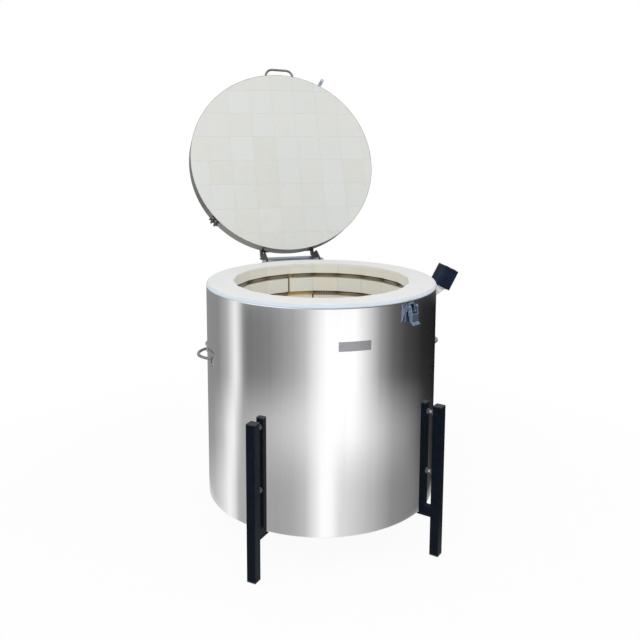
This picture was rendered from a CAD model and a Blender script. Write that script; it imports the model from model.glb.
import bpy
import math
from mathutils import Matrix, Quaternion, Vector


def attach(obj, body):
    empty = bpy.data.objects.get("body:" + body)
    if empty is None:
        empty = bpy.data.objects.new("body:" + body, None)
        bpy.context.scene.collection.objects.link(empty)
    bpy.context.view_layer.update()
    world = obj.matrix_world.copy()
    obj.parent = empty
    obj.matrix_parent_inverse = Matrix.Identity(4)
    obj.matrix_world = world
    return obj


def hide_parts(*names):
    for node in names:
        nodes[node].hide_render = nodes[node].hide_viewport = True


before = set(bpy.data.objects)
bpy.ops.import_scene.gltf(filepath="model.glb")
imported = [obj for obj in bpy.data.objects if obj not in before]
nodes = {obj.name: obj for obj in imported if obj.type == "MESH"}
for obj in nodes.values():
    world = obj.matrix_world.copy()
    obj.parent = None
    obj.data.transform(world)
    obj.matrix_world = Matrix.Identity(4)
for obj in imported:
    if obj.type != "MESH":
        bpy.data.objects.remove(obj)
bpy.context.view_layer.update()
scene = bpy.context.scene


# small helpers for node trees
def greyLevel(value, tint=(1.0, 1.0, 1.0)):
    return (value * tint[0], value * tint[1], value * tint[2], 1.0)


def dimmed(colour, share):
    return tuple(min(1.0, c * share) for c in colour[:3]) + (1.0,)


def newMaterial(name):
    mat = bpy.data.materials.new(name)
    mat.use_nodes = True
    tree = mat.node_tree
    bsdf = tree.nodes["Principled BSDF"]
    return mat, tree, bsdf


def addNode(tree, kind, links=None, **values):
    node = tree.nodes.new(kind)
    for key, value in values.items():
        setattr(node, key, value)
    for socket, source in (links or {}).items():
        if isinstance(source, bpy.types.NodeSocket):
            tree.links.new(source, node.inputs[socket])
        else:
            node.inputs[socket].default_value = source
    return node


# patterns sit on the piece, so they travel with the lid and the latch
def place(tree):
    return addNode(tree, "ShaderNodeTexCoord").outputs["Object"]


def stretched(tree, scale):
    return addNode(tree, "ShaderNodeMapping", {"Vector": place(tree), "Scale": scale}).outputs["Vector"]


def noise(tree, scale, detail=3.0, vector=None, rough=0.55):
    source = vector if vector is not None else place(tree)
    return addNode(tree, "ShaderNodeTexNoise", {"Vector": source, "Scale": scale, "Detail": detail,
                                                "Roughness": rough}).outputs["Fac"]


# how far a point is from the kiln's upright axis
def axisReach(tree):
    flat = addNode(tree, "ShaderNodeVectorMath", {0: place(tree), 1: (1.0, 1.0, 0.0)},
                   operation="MULTIPLY").outputs[0]
    return addNode(tree, "ShaderNodeVectorMath", {0: flat}, operation="LENGTH").outputs["Value"]


def ramp(tree, source, stops):
    node = addNode(tree, "ShaderNodeValToRGB", {"Fac": source})
    elements = node.color_ramp.elements
    while len(elements) < len(stops):
        elements.new(0.5)
    for element, (position, colour) in zip(elements, stops):
        element.position = position
        element.color = colour
    return node.outputs["Color"]


def spread(tree, source, low, high, fromLow=0.0, fromHigh=1.0):
    return addNode(tree, "ShaderNodeMapRange", {"Value": source, "From Min": fromLow, "From Max": fromHigh,
                                                "To Min": low, "To Max": high}).outputs["Result"]


def maths(tree, operation, first, second=0.0):
    return addNode(tree, "ShaderNodeMath", {0: first, 1: second}, operation=operation).outputs[0]


def mixColour(tree, factor, first, second, blend="MIX"):
    node = addNode(tree, "ShaderNodeMix", data_type="RGBA", blend_type=blend)
    for socket, source in ((0, factor), (6, first), (7, second)):
        if isinstance(source, bpy.types.NodeSocket):
            tree.links.new(source, node.inputs[socket])
        else:
            node.inputs[socket].default_value = source
    return node.outputs[2]


def bump(tree, bsdf, height, strength, distance, before=None):
    links = {"Height": height, "Strength": strength, "Distance": distance}
    if before is not None:
        links["Normal"] = before
    node = addNode(tree, "ShaderNodeBump", links)
    tree.links.new(node.outputs["Normal"], bsdf.inputs["Normal"])
    return node.outputs["Normal"]


def softEdge(tree, radius):
    return addNode(tree, "ShaderNodeBevel", {"Radius": radius}, samples=4).outputs["Normal"]


# sheet metal: a faint rolling grain and a slow swell in the sheet
def sheetSteel(name, colour, rough, wave, grain):
    mat, tree, bsdf = newMaterial(name)
    bsdf.inputs["Metallic"].default_value = 1.0
    streaks = noise(tree, 1.0, 2.0, stretched(tree, grain))
    tone = ramp(tree, streaks, [(0.3, dimmed(colour, 0.985)), (0.7, dimmed(colour, 1.01))])
    tree.links.new(tone, bsdf.inputs["Base Color"])
    tree.links.new(spread(tree, streaks, rough * 0.92, rough * 1.08), bsdf.inputs["Roughness"])
    swell = noise(tree, 4.0, 1.0)
    first = bump(tree, bsdf, swell, wave, 0.01)
    bump(tree, bsdf, streaks, 0.02, 0.0003, first)
    return mat


# how near a corner is, from the difference between the rounded and the flat normal
def edgeShare(tree, radius):
    flat = addNode(tree, "ShaderNodeNewGeometry").outputs["Normal"]
    agree = addNode(tree, "ShaderNodeVectorMath", {0: softEdge(tree, radius), 1: flat},
                    operation="DOT_PRODUCT").outputs["Value"]
    return spread(tree, agree, 1.0, 0.0, 0.8, 0.97)


def platedSteel(name, colour, rough, spots=140.0, edge=0.0004, contrast=0.12, metal=1.0, worn=None):
    mat, tree, bsdf = newMaterial(name)
    bsdf.inputs["Metallic"].default_value = metal
    bloom = noise(tree, spots, 4.0)
    tones = [(0.35, dimmed(colour, 1.0 - contrast)), (0.65, dimmed(colour, 1.0 + contrast / 2))]
    body = ramp(tree, bloom, tones)
    if worn:
        body = mixColour(tree, edgeShare(tree, edge), body, worn)
    tree.links.new(body, bsdf.inputs["Base Color"])
    tree.links.new(spread(tree, bloom, rough * 0.8, rough * 1.25), bsdf.inputs["Roughness"])
    bump(tree, bsdf, noise(tree, spots * 8, 2.0), 0.05, 0.0003, softEdge(tree, edge))
    return mat


def paint(name, colour, rough, shine=0.5, edge=0.0006, flake=0.0, sheen=None):
    mat, tree, bsdf = newMaterial(name)
    mottle = noise(tree, 60.0, 3.0)
    body = ramp(tree, mottle, [(0.35, dimmed(colour, 0.85)), (0.7, dimmed(colour, 1.2))])
    if sheen:
        turned = addNode(tree, "ShaderNodeVectorMath", {0: softEdge(tree, edge), 1: sheen["toward"]},
                         operation="DOT_PRODUCT").outputs["Value"]
        share = spread(tree, turned, 0.0, 1.0, sheen["from"], sheen["to"])
        body = mixColour(tree, share, body, sheen["colour"])
    tree.links.new(body, bsdf.inputs["Base Color"])
    tree.links.new(spread(tree, mottle, rough * 0.88, rough * 1.15), bsdf.inputs["Roughness"])
    bsdf.inputs["Specular IOR Level"].default_value = shine
    bsdf.inputs["Metallic"].default_value = flake
    bump(tree, bsdf, noise(tree, 900.0, 1.0), 0.06, 0.0002, softEdge(tree, edge))
    return mat


def plastic(name, colour, rough, grain=1600.0, edge=0.0006):
    mat, tree, bsdf = newMaterial(name)
    cloud = noise(tree, 90.0, 2.0)
    tree.links.new(ramp(tree, cloud, [(0.3, dimmed(colour, 0.88)), (0.7, dimmed(colour, 1.15))]),
                   bsdf.inputs["Base Color"])
    tree.links.new(spread(tree, cloud, rough * 0.9, rough * 1.1), bsdf.inputs["Roughness"])
    bump(tree, bsdf, noise(tree, grain, 2.0), 0.15, 0.0002, softEdge(tree, edge))
    return mat


# one number for each brick of the ring: which side of the wall, and which course
wallRing = {"sides": 20, "courseTop": 0.481}


def wallBrickNumber(tree):
    parts = addNode(tree, "ShaderNodeSeparateXYZ", {0: place(tree)})
    front = maths(tree, "MULTIPLY", parts.outputs["Y"], -1.0)
    turn = maths(tree, "ARCTAN2", parts.outputs["X"], front)
    side = maths(tree, "ROUND", maths(tree, "MULTIPLY", turn, wallRing["sides"] / (2 * math.pi)))
    course = maths(tree, "GREATER_THAN", parts.outputs["Z"], wallRing["courseTop"])
    return addNode(tree, "ShaderNodeCombineXYZ", {0: side, 1: course}).outputs[0]


# one number for each tile of a slab laid in rows; up is the direction of the columns
def slabBrickNumber(tree, sizes):
    parts = addNode(tree, "ShaderNodeSeparateXYZ", {0: place(tree)})
    along = addNode(tree, "ShaderNodeVectorMath", {0: place(tree), 1: sizes["up"]},
                    operation="DOT_PRODUCT")
    column = maths(tree, "FLOOR", spread(tree, parts.outputs["X"], 0.0, 100.0, sizes["x"],
                                         sizes["x"] + 100 * sizes["wide"]))
    row = maths(tree, "FLOOR", spread(tree, along.outputs["Value"], 0.0, 100.0, sizes["start"],
                                      sizes["start"] + 100 * sizes["long"]))
    return addNode(tree, "ShaderNodeCombineXYZ", {0: column, 1: row}).outputs[0]


# fine pores all over the brick, and a few larger pits
pores = {"scale": 300.0, "clusters": 40.0, "size": 0.16, "dark": 0.22, "pitInner": 0.0007, "pitOuter": 0.0012,
         "holeTone": 0.3}


def firebrick(name, look, number):
    mat, tree, bsdf = newMaterial(name)
    luck = addNode(tree, "ShaderNodeTexWhiteNoise", {"Vector": number(tree)}, noise_dimensions="3D")
    hues = addNode(tree, "ShaderNodeSeparateColor", {0: luck.outputs["Color"]})
    cloud = noise(tree, 26.0, 5.0)
    share = maths(tree, "ADD", maths(tree, "MULTIPLY", hues.outputs[1], look["hueShare"]),
                  spread(tree, cloud, -look["cloudShare"], look["cloudShare"], 0.3, 0.7))
    colour = mixColour(tree, share, look["pale"], look["deep"])
    tone = spread(tree, luck.outputs["Value"], 1.0 - look["toneSpread"], 1.0)
    shade = addNode(tree, "ShaderNodeCombineColor", {0: tone, 1: tone, 2: tone}).outputs[0]
    colour = mixColour(tree, 1.0, colour, shade, "MULTIPLY")
    if "groove" in look:
        groove = look["groove"]
        depth = spread(tree, axisReach(tree), 0.0, 1.0, groove["from"], groove["to"])
        colour = mixColour(tree, depth, colour, groove["colour"])
    cells = addNode(tree, "ShaderNodeTexVoronoi", {"Vector": place(tree), "Scale": pores["scale"],
                                                   "Randomness": 1.0}).outputs["Distance"]
    clusters = noise(tree, pores["clusters"], 2.0)
    fine = maths(tree, "LESS_THAN", cells, spread(tree, clusters, 0.0, pores["size"], 0.4, 0.75))
    pits = addNode(tree, "ShaderNodeTexVoronoi", {"Vector": place(tree), "Scale": look["pitScale"],
                                                  "Randomness": 1.0}).outputs["Distance"]
    pit = spread(tree, pits, 1.0, 0.0, look["pitScale"] * pores["pitInner"],
                 look["pitScale"] * pores["pitOuter"])
    hole = maths(tree, "MAXIMUM", maths(tree, "MULTIPLY", fine, pores["dark"]),
                 maths(tree, "MULTIPLY", pit, look["pitDark"]))
    colour = mixColour(tree, hole, colour, dimmed(look["deep"], pores["holeTone"]))
    tree.links.new(colour, bsdf.inputs["Base Color"])
    bsdf.inputs["Roughness"].default_value = 0.92
    bsdf.inputs["Specular IOR Level"].default_value = 0.2
    grit = noise(tree, 700.0, 3.0)
    first = bump(tree, bsdf, grit, 0.2, 0.0005, softEdge(tree, look["edge"]))
    bump(tree, bsdf, maths(tree, "SUBTRACT", 1.0, hole), 0.3, 0.0006, first)
    return mat


def cement(name, colour, worn=None):
    mat, tree, bsdf = newMaterial(name)
    cloud = noise(tree, 9.0, 5.0)
    body = ramp(tree, cloud, [(0.3, dimmed(colour, 0.96)), (0.7, colour)])
    if worn:
        reach = axisReach(tree)
        wander = spread(tree, noise(tree, 30.0, 2.0), -worn["wander"], worn["wander"], 0.3, 0.7)
        outer = spread(tree, maths(tree, "ADD", reach, wander), 0.0, 1.0, worn["from"], worn["to"])
        body = mixColour(tree, outer, body, worn["colour"])
        # the wall of the opening takes the colour of the bricks below it
        normal = addNode(tree, "ShaderNodeNewGeometry").outputs["Normal"]
        facing = addNode(tree, "ShaderNodeSeparateXYZ", {0: normal})
        upright = spread(tree, facing.outputs["Z"], 1.0, 0.0, 0.3, 0.8)
        near = spread(tree, reach, 1.0, 0.0, worn["innerFrom"], worn["innerTo"])
        inside = maths(tree, "MULTIPLY", upright, near)
        body = mixColour(tree, inside, body, worn["inner"])
    tree.links.new(body, bsdf.inputs["Base Color"])
    bsdf.inputs["Roughness"].default_value = 0.8
    bsdf.inputs["Specular IOR Level"].default_value = 0.3
    first = bump(tree, bsdf, noise(tree, 22.0, 3.0), 0.3, 0.0012, softEdge(tree, 0.002))
    bump(tree, bsdf, noise(tree, 420.0, 3.0), 0.2, 0.0004, first)
    return mat


def fibreMat(name, colour):
    mat, tree, bsdf = newMaterial(name)
    strands = noise(tree, 1.0, 4.0, stretched(tree, (260.0, 260.0, 60.0)))
    tree.links.new(ramp(tree, strands, [(0.3, dimmed(colour, 0.82)), (0.7, colour)]),
                   bsdf.inputs["Base Color"])
    bsdf.inputs["Roughness"].default_value = 1.0
    bsdf.inputs["Sheen Weight"].default_value = 0.15
    bump(tree, bsdf, strands, 0.5, 0.001)
    return mat


def oxidisedWire(name, look):
    mat, tree, bsdf = newMaterial(name)
    bsdf.inputs["Metallic"].default_value = 0.5
    scale = noise(tree, 300.0, 3.0)
    bright = ramp(tree, scale, [(0.3, dimmed(look["front"], 0.7)), (0.7, look["front"])])
    behind = spread(tree, axisReach(tree), 0.0, 1.0, look["from"], look["to"])
    tree.links.new(mixColour(tree, behind, bright, look["back"]), bsdf.inputs["Base Color"])
    tree.links.new(spread(tree, scale, 0.28, 0.5), bsdf.inputs["Roughness"])
    return mat


def smokedGlass(name):
    mat, tree, bsdf = newMaterial(name)
    film = noise(tree, 120.0, 2.0)
    tree.links.new(ramp(tree, film, [(0.3, (0.012, 0.005, 0.005, 1)), (0.7, (0.02, 0.008, 0.008, 1))]),
                   bsdf.inputs["Base Color"])
    tree.links.new(spread(tree, film, 0.04, 0.09), bsdf.inputs["Roughness"])
    bsdf.inputs["Coat Weight"].default_value = 0.6
    return mat


# colours and pits of the three kinds of brickwork
wallLook = {"pale": (0.935, 0.94, 0.89, 1), "deep": (0.92, 0.885, 0.765, 1), "hueShare": 1.0,
            "cloudShare": 0.25, "toneSpread": 0.05, "pitScale": 46.0, "pitDark": 0.6, "edge": 0.0008,
            "groove": {"from": 0.2515, "to": 0.262, "colour": (0.66, 0.49, 0.21, 1)}}
floorLook = {"pale": (0.86, 0.84, 0.75, 1), "deep": (0.80, 0.76, 0.65, 1), "hueShare": 0.7, "cloudShare": 0.3,
             "toneSpread": 0.06, "pitScale": 46.0, "pitDark": 0.6, "edge": 0.0008}
lidLook = {"pale": (0.725, 0.74, 0.725, 1), "deep": (0.71, 0.712, 0.66, 1), "hueShare": 0.75,
           "cloudShare": 0.22, "toneSpread": 0.025, "pitScale": 46.0, "pitDark": 0.85, "edge": 0.0004}
# distances from the kiln's axis at which a finish changes, in metres
wireLook = {"front": (0.82, 0.76, 0.67, 1), "back": (0.012, 0.009, 0.006, 1), "from": 0.2497, "to": 0.2521}
rimWear = {"from": 0.3185, "to": 0.3225, "wander": 0.0015, "colour": (0.66, 0.73, 0.795, 1),
           "innerFrom": 0.27, "innerTo": 0.28, "inner": (0.93, 0.90, 0.82, 1)}
# a blue sheen on the controller's front left bend
boxSheen = {"toward": (-0.70, -0.70, 0.12), "from": 0.8, "to": 1.0, "colour": (0.028, 0.075, 0.18, 1)}
# tile grids: first column and row edge, and the pitch of each
floorRows = {"up": (0.0, 1.0, 0.0), "x": -0.575, "wide": 0.230, "start": -0.57, "long": 0.114}
lidRows = {"up": (0.0, 0.3746, 0.9272), "x": -0.408, "wide": 0.077, "start": 0.2986, "long": 0.085}

finishes = {
    "jacketSteel": sheetSteel("jacketSteel", (0.86, 0.86, 0.862, 1), 0.085, 0.04, (70.0, 70.0, 1.5)),
    "trimSteel": sheetSteel("trimSteel", (0.33, 0.305, 0.26, 1), 0.2, 0.05, (60.0, 60.0, 6.0)),
    "dullSteel": platedSteel("dullSteel", (0.50, 0.51, 0.53, 1), 0.4),
    "zincPlate": platedSteel("zincPlate", (0.19, 0.27, 0.42, 1), 0.2, 60.0, 0.0014, 0.2, 0.75,
                             (0.9, 0.93, 1.0, 1)),
    "paleZinc": platedSteel("paleZinc", (0.60, 0.66, 0.75, 1), 0.3, 60.0, 0.0008, 0.1, 0.35),
    "darkZinc": platedSteel("darkZinc", (0.13, 0.18, 0.27, 1), 0.25, 60.0, 0.0012, 0.15, 0.85,
                            (0.55, 0.62, 0.75, 1)),
    "hingeZinc": platedSteel("hingeZinc", (0.42, 0.47, 0.53, 1), 0.42, 60.0, 0.0006, 0.1),
    "darkSteel": platedSteel("darkSteel", (0.13, 0.13, 0.14, 1), 0.4, 90.0, 0.0006),
    "plateSatin": platedSteel("plateSatin", (0.42, 0.42, 0.44, 1), 0.3, 40.0, 0.0004, 0.06),
    "bowSteel": platedSteel("bowSteel", (0.33, 0.33, 0.32, 1), 0.09, 60.0, 0.0004, 0.15),
    "brass": platedSteel("brass", (0.72, 0.5, 0.22, 1), 0.32),
    "legPaint": paint("legPaint", (0.0038, 0.0072, 0.0135, 1), 0.4, 0.05, 0.001),
    "armPaint": paint("armPaint", (0.050, 0.045, 0.038, 1), 0.5, 0.4),
    "boxPaint": paint("boxPaint", (0.013, 0.020, 0.038, 1), 0.35, 0.04, 0.013, 0.35, boxSheen),
    "bracketPaint": paint("bracketPaint", (0.72, 0.73, 0.74, 1), 0.5, 0.3),
    "panelPaint": paint("panelPaint", (0.012, 0.015, 0.022, 1), 0.42, 0.35),
    "blackPlastic": plastic("blackPlastic", (0.010, 0.011, 0.014, 1), 0.45),
    "greenKey": plastic("greenKey", (0.03, 0.2, 0.07, 1), 0.35),
    "wallBrick": firebrick("wallBrick", wallLook, wallBrickNumber),
    "floorBrick": firebrick("floorBrick", floorLook, lambda tree: slabBrickNumber(tree, floorRows)),
    "lidBrick": firebrick("lidBrick", lidLook, lambda tree: slabBrickNumber(tree, lidRows)),
    "rimCement": cement("rimCement", (0.85, 0.86, 0.85, 1), rimWear),
    "jointCement": cement("jointCement", (0.80, 0.80, 0.78, 1)),
    "fibre": fibreMat("fibre", (0.82, 0.81, 0.77, 1)),
    "porcelain": plastic("porcelain", (0.78, 0.75, 0.66, 1), 0.35, 500.0),
    "elementWire": oxidisedWire("elementWire", wireLook),
    "smokedGlass": smokedGlass("smokedGlass"),
}

finishOf = {
    "jacketSteel": ["jacket"],
    "trimSteel": ["lid_band"],
    "dullSteel": ["base_plate", "lid_cover", "terminal_standoffs", "terminal_screws", "leg_studs",
                  "bracket_bolts", "hinge_washers", "hinge_nuts", "hinge_rod", "lid_bolts", "body_rivets",
                  "controller_screws", "side_handle_screws", "terminal_cover"],
    "bracketPaint": ["controller_bracket"],
    "zincPlate": ["latch_rivets", "latch_lever", "latch_pin", "latch_bail"],
    "paleZinc": ["lid_catch"],
    "darkZinc": ["latch_base"],
    "hingeZinc": ["hinge_bracket"],
    "darkSteel": ["band_tensioner", "leg_nuts"],
    "plateSatin": ["nameplate"],
    "bowSteel": ["lid_handle", "side_handle_left", "side_handle_right"],
    "brass": ["lead_connectors"],
    "legPaint": ["leg_posts", "leg_rails", "leg_ledges", "leg_spacers"],
    "armPaint": ["lid_arm_left", "lid_arm_right"],
    "boxPaint": ["controller_housing"],
    "panelPaint": ["controller_panel"],
    "blackPlastic": ["tube_caps", "foot_caps", "cable_gland", "power_rocker", "key_up", "key_down"],
    "greenKey": ["key_start"],
    "wallBrick": ["wall_bricks_lower", "wall_bricks_upper"],
    "floorBrick": ["floor_bricks"],
    "lidBrick": ["lid_bricks"],
    "rimCement": ["rim_coat"],
    "fibre": ["fibre_blanket", "floor_insulation"],
    "porcelain": ["lead_bushes", "terminal_board", "thermocouple_head", "thermocouple_sheath"],
    "elementWire": ["heating_coils", "element_leads"],
    "smokedGlass": ["display_window"],
}
for finish, names in finishOf.items():
    for name in names:
        for slot in nodes[name].material_slots:
            slot.material = finishes[finish]
# the legs stay out of the jacket's reflections, which show the studio only
for name in ("leg_posts", "leg_rails", "leg_ledges", "leg_spacers", "leg_studs", "leg_nuts", "tube_caps",
             "foot_caps"):
    nodes[name].visible_glossy = False
print("materials ready:", len(finishes))


# meshes and curves that stand for a node or add to one
def addMesh(name, verts, faces, finish, body, smooth=True):
    mesh = bpy.data.meshes.new(name)
    mesh.from_pydata([tuple(v) for v in verts], [], faces)
    mesh.validate()
    obj = bpy.data.objects.new(name, mesh)
    scene.collection.objects.link(obj)
    mesh.materials.append(finishes[finish])
    for polygon in mesh.polygons:
        polygon.use_smooth = smooth
    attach(obj, body)
    return obj


def turnedShell(name, profile, count, finish, body, closed=True):
    verts, faces = [], []
    for k in range(count):
        angle = 2 * math.pi * k / count
        for r, z in profile:
            verts.append((r * math.sin(angle), -r * math.cos(angle), z))
    size = len(profile)
    steps = size if closed else size - 1
    for k in range(count):
        for j in range(steps):
            a, b = k * size + j, k * size + (j + 1) % size
            c, d = ((k + 1) % count) * size + (j + 1) % size, ((k + 1) % count) * size + j
            faces.append((a, b, c, d))
    return addMesh(name, verts, faces, finish, body)


def wireCurve(name, splines, radius, finish, body, sides=0):
    curve = bpy.data.curves.new(name, "CURVE")
    curve.dimensions = "3D"
    curve.bevel_depth = radius
    curve.bevel_resolution = sides
    curve.use_fill_caps = True
    for points in splines:
        spline = curve.splines.new("POLY")
        spline.points.add(len(points) - 1)
        for target, point in zip(spline.points, points):
            target.co = (point[0], point[1], point[2], 1.0)
    obj = bpy.data.objects.new(name, curve)
    scene.collection.objects.link(obj)
    curve.materials.append(finishes[finish])
    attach(obj, body)
    return obj


# jacket: one polished sheet with rolled edges
jacketSizes = {"radius": 0.325, "sheet": 0.001, "bottom": 0.113, "top": 0.711, "hem": 0.0012, "facets": 288}


def buildJacket(sizes):
    outer, inner = sizes["radius"], sizes["radius"] - sizes["sheet"]
    low, high, hem = sizes["bottom"], sizes["top"], sizes["hem"]
    profile = [(outer - 0.0004, low), (outer, low + hem * 0.4), (outer, low + hem * 2)]
    for step in range(1, 12):
        profile.append((outer, low + (high - low) * step / 12))
    profile += [(outer, high - hem * 3), (outer, high - hem), (outer - 0.0002, high), (inner, high),
                (inner, low)]
    skin = turnedShell("jacketSkin", profile, sizes["facets"], "jacketSteel", "kiln_body")
    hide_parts("jacket")
    return skin


buildJacket(jacketSizes)
print("jacket done")


# a film of cement in the joints between the lid's tiles, just behind the face
lidSizes = {"pivot": (0.0, 0.358, 0.708), "opening": 112.0, "face": 0.7209, "radius": 0.3138, "sides": 96}


def buildLidFilm(sizes):
    swing = Quaternion((1, 0, 0), -math.radians(sizes["opening"]))
    pivot = Vector(sizes["pivot"])
    verts = []
    for k in range(sizes["sides"]):
        angle = 2 * math.pi * k / sizes["sides"]
        radius = sizes["radius"]
        closed = Vector((radius * math.sin(angle), -radius * math.cos(angle), sizes["face"]))
        verts.append(pivot + swing @ (closed - pivot))
    face = tuple(range(sizes["sides"]))
    return addMesh("lidJointFilm", verts, [face], "jointCement", "lid", False)


buildLidFilm(lidSizes)
print("lid film done")


# heating coils: wound wire in the grooves
coilSizes = {"apothem": 0.254, "sides": 20, "radius": 0.0049, "wire": 0.0012, "pitch": 0.0074,
             "perTurn": 8, "courseTops": (0.481, 0.711), "groovePitch": 0.0575,
             "spans": [(189.3, 546.4), (189.3, 530.7), (189.3, 530.7), (189.3, 532.9)],
             "linkAzimuths": (189.0, 171.0, 189.0), "linkInset": 0.004, "linkWire": 0.0013}


def polygonPoint(azimuth, apothem, sides):
    step = 360.0 / sides
    centre = round(azimuth / step) * step
    reach = apothem / math.cos(math.radians(azimuth - centre))
    a = math.radians(azimuth)
    return Vector((reach * math.sin(a), -reach * math.cos(a), 0)), math.radians(centre)


def woundTurn(z, start, end, sizes):
    points = []
    step = sizes["pitch"] / sizes["apothem"] * 180 / math.pi / sizes["perTurn"]
    count = int((end - start) / step)
    for k in range(count + 1):
        azimuth = start + k * step
        centre, facing = polygonPoint(azimuth, sizes["apothem"], sizes["sides"])
        phase = 2 * math.pi * k / sizes["perTurn"]
        out = sizes["radius"] * math.cos(phase)
        rise = sizes["radius"] * math.sin(phase)
        points.append((centre.x + out * math.sin(facing), centre.y - out * math.cos(facing), z + rise))
    return points


def buildCoils(sizes):
    splines, links = [], []
    for top in sizes["courseTops"]:
        levels = [top - sizes["groovePitch"] * (k + 0.5) for k in range(len(sizes["spans"]))]
        for z, (start, end) in zip(levels, sizes["spans"]):
            splines.append(woundTurn(z, start, end, sizes))
        for k, azimuth in enumerate(sizes["linkAzimuths"]):
            centre = polygonPoint(azimuth, sizes["apothem"], sizes["sides"])[0]
            ends = (levels[k] - sizes["linkInset"], levels[k + 1] + sizes["linkInset"])
            links.append([(centre.x, centre.y, end) for end in ends])
    coils = wireCurve("elementCoils", splines, sizes["wire"], "elementWire", "kiln_body")
    tails = wireCurve("elementLinks", links, sizes["linkWire"], "elementWire", "kiln_body", 2)
    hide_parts("heating_coils")
    return coils, tails


buildCoils(coilSizes)
print("coils done")


# studio: floor, world and lamps
studio = {"floorRadius": 1.7, "floorShare": 0.07, "floorMatte": 0.92, "whiteFrom": 0.55, "whiteTo": 0.92,
          "mirrorFrom": 0.34, "mirrorTo": 0.5, "worldLight": 0.74}
lamps = {"keyLamp": {"place": (-1.6, -2.0, 2.9), "target": (0, 0, 0.6), "size": 1.6, "power": 29.0},
         "fillLamp": {"place": (1.9, -1.6, 2.2), "target": (0, 0, 0.7), "size": 1.4, "power": 7.5}}

# pale and dark cards round the set, seen only in reflections: (degrees from the front, level)
studioCards = {
    "floorBand": [(-180, 0.46), (-150, 0.54), (-133, 0.76), (-118, 1.05), (-110, 0.84), (-104, 0.47),
                  (-60, 0.4), (-42, 0.45), (-30, 0.58), (-21, 0.9), (-13, 1.16), (-5, 1.12), (4, 0.82),
                  (16, 0.72), (40, 0.48), (60, 0.29), (90, 0.22), (120, 0.1), (150, 0.02), (168, 0.3)],
    "hazeBand": [(-180, 0.3), (-150, 0.36), (-131, 0.57), (-118, 0.94), (-111, 1.05), (-104, 0.66),
                 (-98, 0.46), (-66, 0.56), (-41, 0.7), (-30, 0.8), (-18, 1.08), (-8, 1.18), (16, 1.16),
                 (32, 0.87), (46, 0.65), (60, 0.43), (86, 0.24), (110, 0.06), (150, 0.015), (168, 0.3)],
    "wallBand": [(-180, 0.28), (-136, 0.28), (-120, 0.47), (-107, 1.0), (-102, 0.76), (-96, 0.3), (-91, 0.19),
                 (-65, 0.24), (-41, 0.41), (-30, 0.58), (-21, 0.9), (-10, 1.18), (18, 1.18), (31, 0.78),
                 (44, 0.34), (58, 0.14), (75, 0.065), (104, 0.022), (150, 0.01), (168, 0.3)],
    "overhead": [(-180, 0.3), (-125, 0.35), (-88, 1.2), (-52, 1.2), (-20, 0.4), (25, 0.14), (60, 0.12),
                 (120, 0.12), (165, 0.3)],
}
cardLevels = {"floorFull": -0.435, "hazeLow": -0.383, "hazeHigh": -0.367, "wallLow": -0.312,
              "wallHigh": -0.225, "overheadLow": -0.18, "ceilingStart": -0.05, "ceilingFull": 0.2,
              "ceiling": 0.72}


def buildFloor(settings):
    bpy.ops.mesh.primitive_circle_add(vertices=96, radius=settings["floorRadius"], fill_type="NGON",
                                      location=(0, 0, -0.0002))
    floor = bpy.context.active_object
    floor.name = "studioFloor"
    mat = bpy.data.materials.new("studioFloor")
    mat.use_nodes = True
    tree = mat.node_tree
    tree.nodes.clear()
    reach = addNode(tree, "ShaderNodeVectorMath", {0: place(tree)}, operation="LENGTH").outputs["Value"]
    radius, matteLevel = settings["floorRadius"], settings["floorMatte"]
    edge = spread(tree, reach, 0.0, 1.0, radius * settings["whiteFrom"], radius * settings["whiteTo"])
    near = spread(tree, reach, 0.0, 1.0, settings["mirrorFrom"], settings["mirrorTo"])
    path = addNode(tree, "ShaderNodeLightPath")
    white = addNode(tree, "ShaderNodeEmission", {"Color": (1, 1, 1, 1), "Strength": 1.0}).outputs[0]
    matte = addNode(tree, "ShaderNodeBsdfDiffuse", {"Color": greyLevel(matteLevel)}).outputs[0]
    share = spread(tree, edge, 1.0 - settings["floorShare"], 1.0)
    seen = addNode(tree, "ShaderNodeMixShader", {0: share, 1: matte, 2: white}).outputs[0]
    clear = addNode(tree, "ShaderNodeBsdfTransparent").outputs[0]
    fade = maths(tree, "MULTIPLY", near, path.outputs["Is Glossy Ray"])
    mirrored = addNode(tree, "ShaderNodeMixShader", {0: fade, 1: seen, 2: clear}).outputs[0]
    unseen = addNode(tree, "ShaderNodeMixShader",
                     {0: path.outputs["Is Diffuse Ray"], 1: mirrored, 2: matte}).outputs[0]
    addNode(tree, "ShaderNodeOutputMaterial", {"Surface": unseen})
    floor.data.materials.append(mat)
    return floor


def cardRing(tree, turn, stops, tint=(1.0, 1.0, 1.0)):
    return ramp(tree, turn, [((a + 180) / 360, greyLevel(level, tint)) for a, level in stops])


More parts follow.
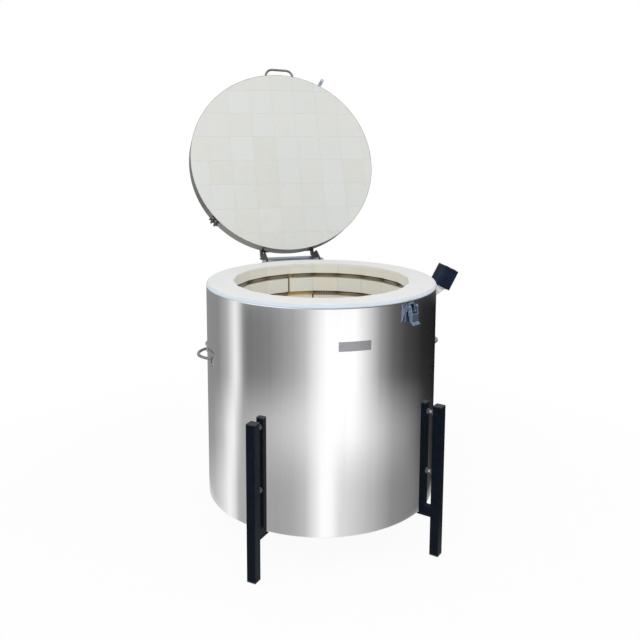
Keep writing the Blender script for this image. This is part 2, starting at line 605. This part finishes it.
def buildWorld(settings, cards, levels):
    world = bpy.data.worlds.new("studioWorld")
    scene.world = world
    world.use_nodes = True
    tree = world.node_tree
    tree.nodes.clear()
    direction = addNode(tree, "ShaderNodeTexCoord").outputs["Generated"]
    parts = addNode(tree, "ShaderNodeSeparateXYZ", {0: direction})
    back = maths(tree, "MULTIPLY", parts.outputs["Y"], -1.0)
    angle = maths(tree, "ARCTAN2", parts.outputs["X"], back)
    turn = spread(tree, angle, 0.0, 1.0, -math.pi, math.pi)
    height = parts.outputs["Z"]
    rings = [cardRing(tree, turn, cards[name]) for name in ("floorBand", "hazeBand", "wallBand")]
    overhead = cardRing(tree, turn, cards["overhead"], (0.94, 0.99, 1.05))
    mirrored = mixColour(tree, spread(tree, height, 0.0, 1.0, levels["floorFull"], levels["hazeLow"]),
                         rings[0], rings[1])
    mirrored = mixColour(tree, spread(tree, height, 0.0, 1.0, levels["hazeHigh"], levels["wallLow"]),
                         mirrored, rings[2])
    mirrored = mixColour(tree, spread(tree, height, 0.0, 1.0, levels["wallHigh"], levels["overheadLow"]),
                         mirrored, overhead)
    top = spread(tree, height, 0.0, 1.0, levels["ceilingStart"], levels["ceilingFull"])
    mirrored = mixColour(tree, top, mirrored, greyLevel(levels["ceiling"], (0.95, 0.98, 1.02)))
    path = addNode(tree, "ShaderNodeLightPath")
    camera = mixColour(tree, path.outputs["Is Camera Ray"], greyLevel(settings["worldLight"]), greyLevel(1.0))
    colour = mixColour(tree, path.outputs["Is Glossy Ray"], camera, mirrored)
    shader = addNode(tree, "ShaderNodeBackground", {"Color": colour, "Strength": 1.0}).outputs[0]
    addNode(tree, "ShaderNodeOutputWorld", {"Surface": shader})


def addLamp(name, settings):
    position, target = Vector(settings["place"]), Vector(settings["target"])
    data = bpy.data.lights.new(name, "AREA")
    data.shape = "DISK"
    data.size = settings["size"]
    data.energy = settings["power"]
    lamp = bpy.data.objects.new(name, data)
    scene.collection.objects.link(lamp)
    lamp.location = position
    lamp.rotation_euler = (target - position).to_track_quat("-Z", "Y").to_euler()
    lamp.visible_glossy = False
    lamp.visible_camera = False
    return lamp


view = {"heading": 15.0, "pitch": -8.03, "roll": 0.26, "place": (-0.5663, -2.0962, 1.1522),
        "lens": 43.61, "shift": -0.1328}


def addCamera(settings):
    data = bpy.data.cameras.new("photoCamera")
    camera = bpy.data.objects.new("photoCamera", data)
    scene.collection.objects.link(camera)
    heading, pitch = math.radians(settings["heading"]), math.radians(settings["pitch"])
    level = math.cos(pitch)
    ahead = Vector((math.sin(heading) * level, math.cos(heading) * level, math.sin(pitch)))
    spin = Quaternion((0, 0, 1), math.radians(settings["roll"]))
    camera.rotation_mode = "QUATERNION"
    camera.rotation_quaternion = ahead.to_track_quat("-Z", "Y") @ spin
    camera.location = settings["place"]
    data.sensor_fit = "HORIZONTAL"
    data.sensor_width = 36.0
    data.lens = settings["lens"]
    data.shift_y = settings["shift"]
    data.clip_start = 0.05
    scene.camera = camera


buildFloor(studio)
buildWorld(studio, studioCards, cardLevels)
for lampName, lampSettings in lamps.items():
    addLamp(lampName, lampSettings)
addCamera(view)
scene.view_settings.view_transform = "Standard"
print("studio done")
